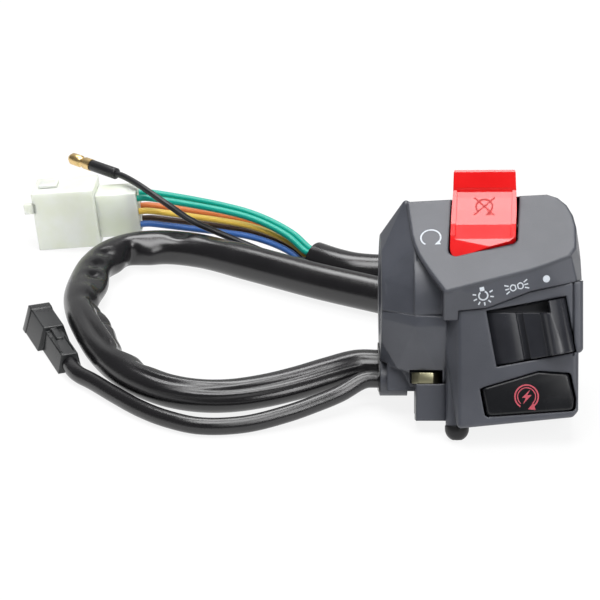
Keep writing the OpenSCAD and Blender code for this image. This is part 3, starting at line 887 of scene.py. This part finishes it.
@dataclass
class Tube:
    """A soft round tube swept along a smooth route."""

    name: str
    route: Sequence[Point]
    radius: float
    sides: int
    step: float
    hollow: float = 0.0
    waist: Sequence[Tuple[float, float]] = ((0.0, 1.0),)
    creases: Sequence[Crease] = ()
    curve_steps: int = 24
    lip_run: float = 1.0
    mouth_depth: float = 7.0
    path: List[Vector] = field(default_factory=list)

    def smooth_route(self) -> List[Vector]:
        """Draw one smooth curve through the route's points.

        Returns:
            Evenly spaced points of the curve, in millimetres.
        """
        points = [Vector(p) for p in self.route]
        points = [2 * points[0] - points[1]] + points + [2 * points[-1] - points[-2]]
        dense: List[Vector] = []
        for p0, p1, p2, p3 in zip(points, points[1:], points[2:], points[3:]):
            t1 = (p1 - p0).length ** 0.5
            t2 = t1 + (p2 - p1).length ** 0.5
            t3 = t2 + (p3 - p2).length ** 0.5
            for k in range(self.curve_steps):
                t = t1 + (t2 - t1) * k / self.curve_steps
                a1 = p0 * ((t1 - t) / t1) + p1 * (t / t1)
                a2 = p1 * ((t2 - t) / (t2 - t1)) + p2 * ((t - t1) / (t2 - t1))
                a3 = p2 * ((t3 - t) / (t3 - t2)) + p3 * ((t - t2) / (t3 - t2))
                b1 = a1 * ((t2 - t) / t2) + a2 * (t / t2)
                b2 = a2 * ((t3 - t) / (t3 - t1)) + a3 * ((t - t1) / (t3 - t1))
                dense.append(b1 * ((t2 - t) / (t2 - t1)) + b2 * ((t - t1) / (t2 - t1)))
        dense.append(points[-2])
        lengths = [0.0]
        for p, q in zip(dense, dense[1:]):
            lengths.append(lengths[-1] + (q - p).length)
        count = max(8, round(lengths[-1] / self.step))
        even: List[Vector] = []
        k = 0
        for i in range(count + 1):
            want = lengths[-1] * i / count
            while k < len(dense) - 2 and lengths[k + 1] < want:
                k += 1
            share = (want - lengths[k]) / max(1e-9, lengths[k + 1] - lengths[k])
            even.append(dense[k].lerp(dense[k + 1], min(1.0, share)))
        return even

    def length(self) -> float:
        """Give the tube's length in metres."""
        return sum((q - p).length for p, q in zip(self.path, self.path[1:])) * MM

    def share(self, s: float) -> float:
        """Give how full the tube is at a distance.

        Args:
            s: distance along the tube, in millimetres.

        Returns:
            The share of its full radius.
        """
        for (s0, k0), (s1, k1) in zip(self.waist, self.waist[1:]):
            if s0 <= s < s1:
                t = (s - s0) / (s1 - s0)
                return k0 + (k1 - k0) * t * t * (3 - 2 * t)
        return self.waist[-1][1]

    def ring(self, i: int, s: float, scale: float = 1.0) -> List[Vector]:
        """Give one ring of points.

        Args:
            i: number of the path's point.
            s: distance along the tube, in millimetres.
            scale: size of the ring.

        Returns:
            The ring's points, in metres.
        """
        path = self.path
        ahead = (path[min(i + 1, len(path) - 1)] - path[max(i - 1, 0)]).normalized()
        side = ahead.cross(Vector((0, 0, 1))).normalized()
        up = side.cross(ahead)
        made = []
        for k in range(self.sides):
            a = 2 * math.pi * k / self.sides
            r = self.radius * self.share(s) + sum(c.press(s, math.degrees(a)) for c in self.creases)
            made.append((path[i] + side * (r * scale * math.cos(a)) + up * (r * scale * math.sin(a))) * MM)
        return made

    def build(self) -> Piece:
        """Build the tube's mesh.

        Returns:
            The tube, with a UV map that runs along it.
        """
        self.path = self.smooth_route()
        run = [0.0]
        for p, q in zip(self.path, self.path[1:]):
            run.append(run[-1] + (q - p).length)
        rings = [(self.ring(i, s), s) for i, s in enumerate(run)]
        last = len(self.path) - 1
        if self.hollow:
            back = (self.path[last - 1] - self.path[last]).normalized()
            lip = self.ring(last, run[-1], 1 - self.hollow)
            deep = [p + back * self.mouth_depth * MM for p in lip]
            rings.append((lip, run[-1] + self.lip_run))
            rings.append((deep, run[-1] + self.lip_run + self.mouth_depth))
        n = self.sides
        points = [p for ring, _ in rings for p in ring]
        faces = [tuple(reversed(range(n)))]
        for i in range(len(rings) - 1):
            for k in range(n):
                m = (k + 1) % n
                faces.append((i * n + k, i * n + m, (i + 1) * n + m, (i + 1) * n + k))
        faces.append(tuple((len(rings) - 1) * n + k for k in range(n)))
        mesh = bpy.data.meshes.new(self.name)
        mesh.from_pydata(points, [], faces)
        layer = mesh.uv_layers.new(name="along")
        for polygon in mesh.polygons:
            ks = [mesh.loops[j].vertex_index % n for j in polygon.loop_indices]
            wrap = 0 in ks and n - 1 in ks and len(ks) == 4
            for j, k in zip(polygon.loop_indices, ks):
                ring = mesh.loops[j].vertex_index // n
                around = 1.0 if wrap and k == 0 else k / n
                layer.data[j].uv = (around, rings[ring][1] * MM)
        piece = bpy.data.objects.new(self.name, mesh)
        bpy.context.scene.collection.objects.link(piece)
        Bench.face_out(piece)
        Bench.smooth(piece, 60)
        return piece


# Routes of the cords on the table, in millimetres: the turns that each one takes.
SLEEVE_Z = -24.2
LEAD_Z = -27.5
SLEEVE_TURNS = [
    (-43.5, -5.6), (-52, -9.8), (-61, -13.2), (-71, -15), (-80, -15), (-89, -11.8), (-97.5, -5),
    (-104.5, 4), (-110, 15), (-114.5, 28), (-117.8, 40), (-119.4, 51), (-118.8, 62), (-116.6, 74),
    (-112, 83.5), (-105, 89), (-95, 90.5), (-83, 87.5), (-67, 78), (-45, 64), (-25, 53), (-10, 45),
    (4, 40.5), (16, 40.5), (24.5, 46.5), (28, 56.5), (26.5, 67), (19.5, 75), (8, 78.5), (-4, 76.5),
    (-14, 72.5), (-23, 70.5), (-33, 71.8), (-40, 75.6), (-46, 80.5),
]
LEAD_TURNS = [
    (-39.5, -14.2), (-46.5, -18.2), (-55, -22.4), (-67, -26.4), (-79.5, -27.3), (-89.3, -22.8), (-97, -16.6),
    (-104.8, -8), (-112, 0.6), (-116.2, 5), (-118.25, 8.6), (-119.4, 11.6),
]
SLEEVE_WAIST = ((0, 0.84), (60, 0.83), (100, 0.87), (140, 0.88), (200, 0.96), (225, 1.0), (600, 1.0))
SLEEVE_CREASES = (
    Crease(128, 0, 2.1, 2.8, 62), Crease(134, 58, -0.6, 3.2, 28), Crease(112, 0, -1.9, 11, 36),
    Crease(145, 0, -2.6, 11, 36), Crease(104, 72, -1.0, 13, 13, 0.06), Crease(104, 102, 1.0, 13, 13, 0.06),
    Crease(106, 44, 1.1, 12, 12, 0.06), Crease(121, 24, 1.0, 1.8, 30, 0.03),
    Crease(111.5, 24, 1.0, 2.0, 30, 0.03), Crease(91, 10, 1.3, 3.0, 42), Crease(88, 54, 1.4, 3.0, 24, 0.05),
    Crease(84, 8, -0.9, 4.0, 40), Crease(76, 44, 0.9, 3.2, 32, 0.05), Crease(146, 48, 1.5, 2.4, 28, -0.05),
    Crease(153, 58, 1.1, 3.0, 26, -0.05), Crease(163, 60, 0.9, 2.8, 26, -0.06),
    Crease(176, -6, 1.8, 2.6, 52), Crease(184, -10, -1.6, 4.6, 40), Crease(167, -5, -1.6, 5.0, 40),
    Crease(194, 78, 0.9, 3.6, 24), Crease(207, 100, 0.8, 5.0, 22), Crease(34, 132, 0.9, 30, 12),
    Crease(28, 164, 0.6, 26, 12), Crease(62, 112, 0.7, 14, 12, 0.2), Crease(250, 122, 0.4, 34, 14),
)
LOOM = [
    (-46, 80.5, -24.2), (-48.3, 82.4, -24.2), (-53.5, 87.4, -21.6), (-60, 92, -19.8), (-67.5, 95.8, -18.5),
    (-76, 99, -17.9), (-85, 102, -17.6), (-94, 104.2, -17.1),
]
SPREAD = [0, 0, 0.12, 0.3, 0.5, 0.7, 0.86, 0.96]
LOOM_SIDE = Vector((0.632, 0.775, 0)).normalized()
LOOM_AHEAD = Vector((-0.775, 0.632, 0)).normalized()
BLACK_TURNS = [
    (-57, 84.6, -25.6), (-66.5, 91, -24.4), (-77.5, 93.8, -20.6), (-86.4, 93, -15.8), (-93, 94.4, -11.6),
    (-98.8, 97.8, -8.8), (-104.3, 103.6, -7.4), (-109.3, 109.4, -7), (-111.6, 111.4, -7),
]

# The connector's wire ways, in its own frame: where the tail ends, and the ways' middle and pitch.
TAIL_END = 34.0
WAY_MIDDLE = (7.0, 9.6)
WAY_PITCH = (2.4, 4.6)


@dataclass
class Harness:
    """The main sleeve, the brake lead and the wires."""

    grommet_face: float = -28.5
    sleeve_radius: float = 5.8
    lead_radius: float = 2.5
    wire_radius: float = 1.05
    wire_gap: float = 2.6
    wire_row: float = 2.3

    def outlet(self, y: float, z: float) -> Vector:
        """Give a place on the grommet's face.

        Args:
            y: its place behind the bar, in the case frame.
            z: its height in the case frame.

        Returns:
            The place in millimetres, in the part's frame.
        """
        return (LEAN @ Vector((self.grommet_face * MM, y * MM, z * MM))) / MM

    def make(self, tube: Tube, finish: str, slot: str) -> None:
        """Args:
            tube: the tube to build; its name is a CAD node's with _cord after it.
            finish: short name of its finish.
            slot: the record's material slot.
        """
        piece = tube.build()
        Bench.dress(piece, finish, Body.HOUSING, slot, [tube.name.replace("_cord", "")])
        path = [p * MM for p in tube.path]
        diameter = 2 * tube.radius * tube.share(0) ** 0.5 * MM
        tube.length()

    def wire(
        self, name: str, finish: str, route: Sequence[Point]
    ) -> None:
        """Build one wire.

        Args:
            name: the wire's own name.
            finish: short name of its finish, which also names its slot.
            route: points of its route, in millimetres.
        """
        tube = Tube(f"wire_{name}_cord", route, self.wire_radius, sides=12, step=1.4)
        self.make(tube, finish, f"{finish}_wire")

    def build(self, connector: Sequence[Piece], bullet: Sequence[Piece], plug: Sequence[Piece]) -> None:
        """Build every cord.

        Args:
            connector: pieces of the six-way connector; not used.
            bullet: pieces of the bullet end; not used.
            plug: pieces of the brake plug; not used.
        """
        route = self.table_route(self.outlet(8, -20.2), (-6, 0, 0), SLEEVE_TURNS, SLEEVE_Z, 0.7)
        sleeve = Tube(
            "main_sleeve_cord", route, self.sleeve_radius, sides=72, step=0.8, hollow=0.14,
            waist=SLEEVE_WAIST, creases=SLEEVE_CREASES,
        )
        self.make(sleeve, "sleeve", "black_sleeve")

        route = self.table_route(self.outlet(-0.2, -23.7), (-4, -0.4, 0), LEAD_TURNS, LEAD_Z, 1.2)
        lead = Tube("brake_lead_cord", route, self.lead_radius, sides=20, step=1.6)
        self.make(lead, "sleeve", "black_sleeve")

        gap, half, row = self.wire_gap, self.wire_gap / 2, self.wire_row
        wires = {
            "green_a": ("green", (-half, row), (-1, 1)), "green_b": ("green", (half, row), (1, 1)),
            "brown": ("brown", (half, -row), (1, -1)), "orange": ("orange", (gap, 0), (1, 0)),
            "yellow": ("yellow", (0, 0), (-1, 0)), "blue": ("blue", (-half, -row), (-1, -1)),
        }
        for name, (finish, start, way) in wires.items():
            self.wire(name, finish, self.wire_route(start, way))

        first = Vector(LOOM[0]) - gap * LOOM_SIDE
        route = [tuple(first), tuple(first + gap * LOOM_AHEAD), *BLACK_TURNS]
        self.wire("black", "black", route)

    def table_route(
        self, start: Vector, ahead: Point, turns: Sequence[Tuple[float, float]], rest: float, drop: float
    ) -> List[Point]:
        """Give a sleeve's route from the grommet down to the table.

        Args:
            start: its place on the grommet's face.
            ahead: the straight step that it leaves by.
            turns: its turns, seen from above.
            rest: height of its middle line on the table.
            drop: height that it loses at each of its first three turns.

        Returns:
            The route's points, in millimetres.
        """
        route = [tuple(start), tuple(start + Vector(ahead))]
        for i, (x, y) in enumerate(turns):
            route.append((x, y, rest + max(0, 3 - i) * drop))
        return route

    def wire_route(self, start: Tuple[float, float], way: Tuple[int, int]) -> List[Point]:
        """Give one wire's route from the sleeve's end to the connector.

        Args:
            start: its place in the sleeve's end, sideways and up.
            way: its way in the connector, as steps from the middle.

        Returns:
            The route's points, in millimetres.
        """
        side, up = way[0] * WAY_PITCH[0], way[1] * WAY_PITCH[1]
        across = SHELL.to_3x3() @ Vector((0, side, up))
        inside = LOOM_SIDE * start[0] + Vector((0, 0, start[1]))
        route = []
        for place, share in zip(LOOM, SPREAD):
            route.append(tuple(Vector(place) + (1 - share) * inside + share * across))
        for x in (TAIL_END + self.wire_gap, TAIL_END):
            end = SHELL @ Vector((x * MM, (WAY_MIDDLE[0] + side) * MM, (WAY_MIDDLE[1] + up) * MM))
            route.append(tuple(end / MM))
        return route


@dataclass
class SixWayConnector:
    """The milky connector shell with its blades."""

    size: Point = (20.5, 14, 20)
    wall: float = 1.3
    deep: float = 17.0
    tail: Corners = ((20.3, 2.2, 2.2), (TAIL_END, 11.8, 17))
    latch: Corners = ((2, 4.5, 19.6), (8, 9.5, 21))
    tongue: Corners = ((-3, 0, 13), (1, 1.3, 16.6))
    edge: float = 0.35
    way_wall: float = 0.5
    way_deep: float = 3.0

    def build(self) -> List[Piece]:
        """Build the shell and give the blades with it.

        Returns:
            The shell and the blades.
        """
        shell = Bench.block("connector_body", (0, 0, 0), self.size)
        Bench.sink(shell, Side.LEFT, self.wall, self.deep)
        tail = Bench.block("connector_tail", *self.tail)
        self.ways(tail)
        latch = Bench.block("connector_latch", *self.latch)
        tongue = Bench.block("connector_tongue", *self.tongue)
        for part in (shell, tail, latch, tongue):
            Bench.round_edges(part, self.edge, 3)
        body = Bench.join("connector_body", [shell, tail, latch, tongue])
        Bench.settle(body, SHELL)
        Bench.smooth(body)
        Bench.dress(body, "nylon", Body.HOUSING, "nylon", ["connector_shell"])
        return [body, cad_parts["connector_terminals"]]

    def ways(self, tail: Piece) -> None:
        """Sink the six wire ways into the tail's end.

        Args:
            tail: the tail block.
        """
        y, z = WAY_MIDDLE
        half = WAY_PITCH[1] / 2
        cuts = (((0, y, 0), (0, 1, 0)), ((0, 0, z - half), (0, 0, 1)), ((0, 0, z + half), (0, 0, 1)))
        for place, across in cuts:
            Bench.pick_side(tail, Side.RIGHT)
            bpy.ops.mesh.bisect(plane_co=[p * MM for p in place], plane_no=across)
            bpy.ops.object.mode_set(mode="OBJECT")
        Bench.pick_side(tail, Side.RIGHT)
        bpy.ops.mesh.inset(thickness=self.way_wall * MM, use_individual=True)
        bpy.ops.mesh.extrude_region_move(TRANSFORM_OT_translate={"value": (-self.way_deep * MM, 0, 0)})
        bpy.ops.object.mode_set(mode="OBJECT")


@dataclass
class BulletEnd:
    """The crimped bullet terminal on the black wire."""

    edge: float = 0.3

    def build(self) -> List[Piece]:
        """Build the cover and the terminal.

        Returns:
            The cover and the terminal.
        """
        cover = Bench.copy_node("bullet_sleeve", "bullet_cover")
        Bench.round_edges(cover, self.edge, 3)
        Bench.dress(cover, "black", Body.HOUSING, "black_plastic", ["bullet_sleeve"])
        tip = Bench.copy_node("bullet_terminal", "bullet_tip")
        Bench.smooth(tip)
        Bench.dress(tip, "brass", Body.HOUSING, "brass", ["bullet_terminal"])
        return [cover, tip]


@dataclass
class BrakePlug:
    """The two-way plug on the brake lead."""

    edge: float = 0.5
    rib: Corners = ((1.5, -0.25, 3.2), (12, 0.25, 4.0))
    rib_side: float = 2.0
    rib_edge: float = 0.15

    def build(self) -> List[Piece]:
        """Build the plug.

        Returns:
            The plug and its blades.
        """
        plug = Bench.copy_node("brake_plug", "brake_plug_body")
        Bench.round_edges(plug, self.edge, 3)
        ribs = [Bench.block("plug_rib", *self.rib) for _ in range(2)]
        for rib, y in zip(ribs, (-self.rib_side, self.rib_side)):
            Bench.round_edges(rib, self.rib_edge, 2)
            Bench.settle(rib, PLUG @ shift(0, y, 0))
        plug = Bench.join("brake_plug_body", [plug, *ribs])
        Bench.dress(plug, "plug", Body.HOUSING, "black_plastic", ["brake_plug"])
        return [plug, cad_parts["brake_terminals"]]


@dataclass
class Sign:
    """A flat printed sign, drawn in millimetres about its own middle."""

    name: str
    thick: float = 0.06
    lift: float = 0.01
    reach: float = 2.0
    probe: float = 6.0
    marks: List[Piece] = field(default_factory=list)

    def arc(self, x: float, y: float, r: float, width: float, start: float, sweep: float) -> "Sign":
        """Add a stroke along an arc.

        Args:
            x: middle of the arc, across.
            y: middle of the arc, up.
            r: radius of the stroke's middle line.
            width: width of the stroke.
            start: angle it starts at, in degrees.
            sweep: angle it runs through.

        Returns:
            The sign.
        """
        Bench.clear()
        steps = max(6, int(abs(sweep) / 9))
        bpy.ops.mesh.primitive_grid_add(x_subdivisions=steps, y_subdivisions=1, size=1)
        mark = bpy.context.object
        for vertex in mark.data.vertices:
            a = math.radians(start + sweep * (vertex.co.x + 0.5))
            reach = (r + width * vertex.co.y) * MM
            vertex.co = (x * MM + reach * math.cos(a), y * MM + reach * math.sin(a), 0)
        self.marks.append(mark)
        return self

    def bar(self, x0: float, y0: float, x1: float, y1: float, width: float) -> "Sign":
        """Add a straight stroke.

        Args:
            x0: start, across.
            y0: start, up.
            x1: end, across.
            y1: end, up.
            width: width of the stroke.

        Returns:
            The sign.
        """
        Bench.clear()
        long = math.hypot(x1 - x0, y1 - y0)
        bpy.ops.mesh.primitive_grid_add(x_subdivisions=3, y_subdivisions=1, size=1)
        mark = bpy.context.object
        mark.scale = (long * MM, width * MM, 1)
        mark.rotation_euler = (0, 0, math.atan2(y1 - y0, x1 - x0))
        mark.location = ((x0 + x1) / 2 * MM, (y0 + y1) / 2 * MM, 0)
        bpy.ops.object.transform_apply(location=True, rotation=True, scale=True)
        self.marks.append(mark)
        return self

    def patch(self, points: Sequence[Tuple[float, float]]) -> "Sign":
        """Add a filled shape.

        Args:
            points: its corners in order.

        Returns:
            The sign.
        """
        Bench.clear()
        bpy.ops.mesh.primitive_circle_add(vertices=len(points), radius=1, fill_type="NGON")
        mark = bpy.context.object
        for vertex, (x, y) in zip(mark.data.vertices, points):
            vertex.co = (x * MM, y * MM, 0)
        self.marks.append(mark)
        return self

    def lay(self, place: Matrix, skin: Piece, finish: str, body: Body, slot: str) -> None:
        """Press the sign on a surface.

        Args:
            place: frame of the sign, Z out of the surface.
            skin: the piece that carries it.
            finish: short name of its finish.
            body: the body it moves with.
            slot: the record's material slot.
        """
        sign = Bench.join(self.name, self.marks)
        Bench.face_out(sign)
        if sum(p.normal.z for p in sign.data.polygons) < 0:
            Bench.open_all(sign)
            bpy.ops.mesh.flip_normals()
            bpy.ops.object.mode_set(mode="OBJECT")
        Bench.settle(sign, place)
        out = (place.to_3x3() @ Vector((0, 0, 1))).normalized()
        for vertex in sign.data.vertices:
            above = vertex.co + out * self.reach * MM
            hit, where, _, _ = skin.ray_cast(above, -out, distance=self.probe * MM)
            if hit:
                vertex.co = where + out * self.lift * MM
        Bench.modify(sign, "SOLIDIFY", thickness=self.thick * MM, offset=1)
        Bench.dress(sign, finish, body, slot)


@dataclass
class Housing:
    """The two cases with their screws, nut, grommet and signs."""

    upper: Optional[Piece] = None
    grommet_edge: float = 0.5
    fixing_edge: float = 0.2
    sight: float = 80.0

    def build(self) -> None:
        """Build the cases and what is fixed to them."""
        self.upper = self.case("upper_case")
        self.case("lower_case")
        grommet = Bench.copy_node("harness_grommet", "grommet_skin")
        Bench.round_edges(grommet, self.grommet_edge, 3, 50)
        Bench.dress(grommet, "sleeve", Body.HOUSING, "black_sleeve", ["harness_grommet"])
        fixings = {
            "front_screw": ("screw", "black_screw"),
            "rear_screw": ("screw", "black_screw"),
            "boss_nut": ("zinc", "zinc_nut"),
        }
        for node, (finish, slot) in fixings.items():
            piece = Bench.copy_node(node, f"{node}_skin")
            Bench.round_edges(piece, self.fixing_edge, 2, 40)
            Bench.dress(piece, finish, Body.HOUSING, slot, [node])
        self.signs()

    def case(self, node: str) -> Piece:
        """Build one of the two cases.

        Args:
            node: the case's CAD node.

        Returns:
            The case.
        """
        case = Bench.copy_node(node, f"{node}_skin")
        Bench.smooth(case, 30)
        Bench.modify(case, "WEIGHTED_NORMAL", keep_sharp=True)
        Bench.dress(case, "case", Body.HOUSING, "case_plastic", [node])
        return case

    def front(self, x: float, z: float, spin: float) -> Matrix:
        """Give a frame on the front of the upper case.

        Args:
            x: place along the bar, in millimetres.
            z: place up the panel.
            spin: turn of the sign, in degrees.

        Returns:
            The frame, Z out of the surface.
        """
        origin = LEAN @ Vector((x * MM, -self.sight * MM, z * MM))
        ahead = LEAN.to_3x3() @ Vector((0, 1, 0))
        _, where, normal, _ = self.upper.ray_cast(origin, ahead)
        right = LEAN.to_3x3() @ Vector((math.cos(math.radians(spin)), 0, math.sin(math.radians(spin))))
        right = (right - normal * right.dot(normal)).normalized()
        up = normal.cross(right)
        place = Matrix((right, up, normal)).transposed().to_4x4()
        place.translation = where
        return place

    def mark(self, sign: Sign, x: float, z: float, spin: float) -> None:
        """Print one white sign on the front of the upper case."""
        sign.lay(self.front(x, z, spin), self.upper, "white_ink", Body.HOUSING, "case_plastic")

    def signs(self) -> None:
        """Print the signs on the upper case."""
        run = Sign("run_sign").arc(0, 0, 2.8, 0.46, -52, 284)
        run.patch([(0.9, -2.6), (2.6, -2.75), (2.2, -1.2)])
        self.mark(run, -14.2, 16.7, 4)

        lamp = Sign("headlamp_sign").arc(0, -0.3, 1.25, 0.42, 120, 300)
        lamp.bar(0, 1.05, 0, 2.15, 1.25)
        for a in (18, -18, -54, -90, -126, -162, -198):
            c, s = math.cos(math.radians(a)), math.sin(math.radians(a))
            lamp.bar(2.0 * c, 2.0 * s - 0.3, 3.0 * c, 3.0 * s - 0.3, 0.4)
        self.mark(lamp, -0.2, 0.6, 12)

        pair = Sign("position_lamp_sign")
        for s in (-1, 1):
            pair.arc(s * 1.0, 0, 0.85, 0.34, -90 if s > 0 else 90, 180)
            pair.bar(s * 1.0, 0.85, s * 0.35, 0.55, 0.32).bar(s * 1.0, -0.85, s * 0.35, -0.55, 0.32)
            pair.bar(s * 0.35, 0.6, s * 0.35, -0.6, 0.32)
            for dy in (-0.75, 0, 0.75):
                pair.bar(s * 2.2, dy, s * 3.3, dy * 1.7, 0.36)
        self.mark(pair, 9.2, 2.8, 15)

        dot = Sign("off_sign").arc(0, 0, 0.5, 1.0, 0, 360)
        self.mark(dot, 17.5, 5.04, 12)


@dataclass
class Switches:
    """The stop rocker, the light paddle and the start button."""

    stop_edge: float = 0.35
    stop_wedge: Corners = ((-12, -16, -2.1), (12, -8.3, 6))
    stop_sign: Point = (0, 3.2, 4)
    light_wedge: Corners = ((-12.6, -6, 7.7), (5.9, 3.2, 9))
    wedge_rise: float = 3.5
    start_edge: float = 0.4
    start_sign: Point = (12.04, -24, -27.8)

    def build(self) -> None:
        """Build the three pressed pieces."""
        self.stop()
        self.light()
        self.start()

    def stop(self) -> None:
        """Build the stop rocker, with its low end sloped down into the well, and its sign."""
        rocker = Bench.copy_node("stop_rocker", "stop_rocker_skin")
        Bench.cut_slope(rocker, self.stop_wedge, 1, self.wedge_rise, HOOD @ turn(-9, "Z"))
        Bench.round_edges(rocker, self.stop_edge, 3, 38)
        Bench.smooth(rocker, 2)
        Bench.dress(rocker, "red", Body.STOP, "red_plastic", ["stop_rocker"])
        sign = Sign("stop_sign", 0.1).arc(0, 0, 2.3, 0.5, -65, 290)
        sign.patch([(0.4, -3.0), (2.2, -2.9), (1.4, -1.2)])
        sign.bar(-2.9, 2.9, 2.9, -2.9, 0.5).bar(-2.9, -2.9, 2.9, 2.9, 0.5)
        sign.lay(HOOD @ shift(*self.stop_sign), rocker, "stop_ink", Body.STOP, "red_plastic")

    def light(self) -> None:
        """Build the light paddle, with its front edge cut down towards its ridge."""
        paddle = Bench.copy_node("light_rocker", "light_paddle_skin")
        Bench.cut_slope(paddle, self.light_wedge, 0, -self.wedge_rise, LIGHT)
        Bench.smooth(paddle, 30)
        Bench.dress(paddle, "knob", Body.LIGHT, "black_plastic", ["light_rocker"])

    def start(self) -> None:
        """Build the start button and its sign."""
        button = Bench.copy_node("start_button", "start_button_skin")
        Bench.round_edges(button, self.start_edge, 3, 30)
        Bench.dress(button, "button", Body.START, "black_plastic", ["start_button"])
        sign = Sign("start_sign").arc(0, 0, 3.25, 0.42, -58, 296).arc(0, 0, 2.5, 0.28, -50, 280)
        sign.patch([(0.4, -3.5), (2.5, -3.7), (1.9, -1.7)])
        sign.patch([(1.0, 2.0), (-1.3, -0.3), (-0.2, -0.3), (-1.0, -2.1), (1.4, 0.45), (0.2, 0.45)])
        place = LEAN @ shift(*self.start_sign) @ turn(90, "X")
        sign.lay(place, button, "red_ink", Body.START, "black_plastic")


@dataclass
class Works:
    """The contacts, springs and pivots inside, which keep their CAD shapes."""

    finishes: Dict[str, str] = field(default_factory=lambda: {
        "case_inserts": "brass", "stop_pivots": "screw", "stop_plunger": "brass", "stop_spring": "steel",
        "stop_contact_base": "board", "stop_contacts": "brass", "light_pivots": "screw",
        "light_plunger": "brass", "light_spring": "steel", "light_contact_base": "board",
        "light_contacts": "brass", "start_spring": "steel", "start_bridge": "brass",
        "start_contact_base": "board", "start_contacts": "brass", "connector_terminals": "brass",
        "brake_terminals": "brass",
    })

    def build(self) -> None:
        """Dress the nodes."""
        for node, finish in self.finishes.items():
            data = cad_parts[node].data
            data.materials.clear()
            data.materials.append(Finishes.get(finish))
            log.info("%s keeps its CAD shape", node)


def main() -> None:
    """Build the studio and then the part, piece by piece."""
    logging.basicConfig(level=logging.INFO)
    Studio().build()
    connector = SixWayConnector().build()
    bullet = BulletEnd().build()
    plug = BrakePlug().build()
    Harness().build(connector, bullet, plug)
    Housing().build()
    Switches().build()
    Works().build()


if __name__ == "__main__":
    main()
